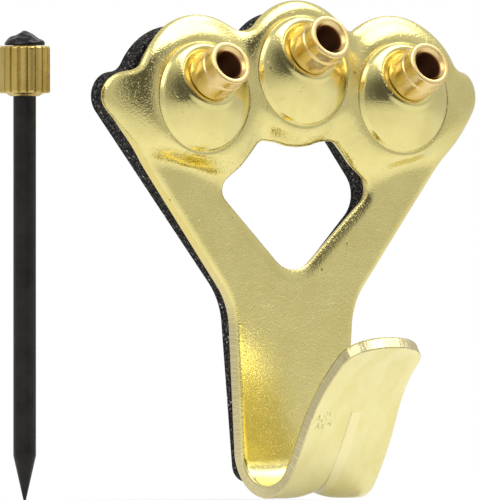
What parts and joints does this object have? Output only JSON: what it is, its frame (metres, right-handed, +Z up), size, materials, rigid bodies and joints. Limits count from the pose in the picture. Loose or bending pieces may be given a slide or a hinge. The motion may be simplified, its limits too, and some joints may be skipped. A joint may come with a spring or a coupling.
{
  "type": "picture hanger",
  "caption": "Pressed sheet picture hanger with a flared hook, tilted tubular nail guides on raised domes, a foam wall pad and a loose nail with a knurled collar.",
  "frame": {"origin": "on the wall face of the foam pad, behind the middle of the neck, 10.3 mm above the centre of the hook's bend", "axes": "+X to the viewer's right, +Y into the wall, +Z up"},
  "size_m": [0.0482, 0.0171, 0.0415],
  "materials": {
    "plate_brass": "pale bright plating over pressed sheet, fine grain, light scratches",
    "guide_brass": "turned, polished",
    "collar_brass": "straight knurl, satin",
    "pad_foam": "black foam, matt, open grain",
    "nail_steel": "black oxide, satin, glossy head"
  },
  "bodies": {
    "hanger": {"hanger_plate": "plate_brass", "nail_guide_left": "guide_brass", "nail_guide_centre": "guide_brass", "nail_guide_right": "guide_brass", "backing_pad": "pad_foam"},
    "nail": {"nail_pin": "nail_steel", "nail_collar": "collar_brass"}
  },
  "joints": [
    {"name": "nail_slide", "type": "slide", "parent": "hanger", "child": "nail", "axis": [0, 0, 1], "range_m": [0, 0.033]}
  ]
}
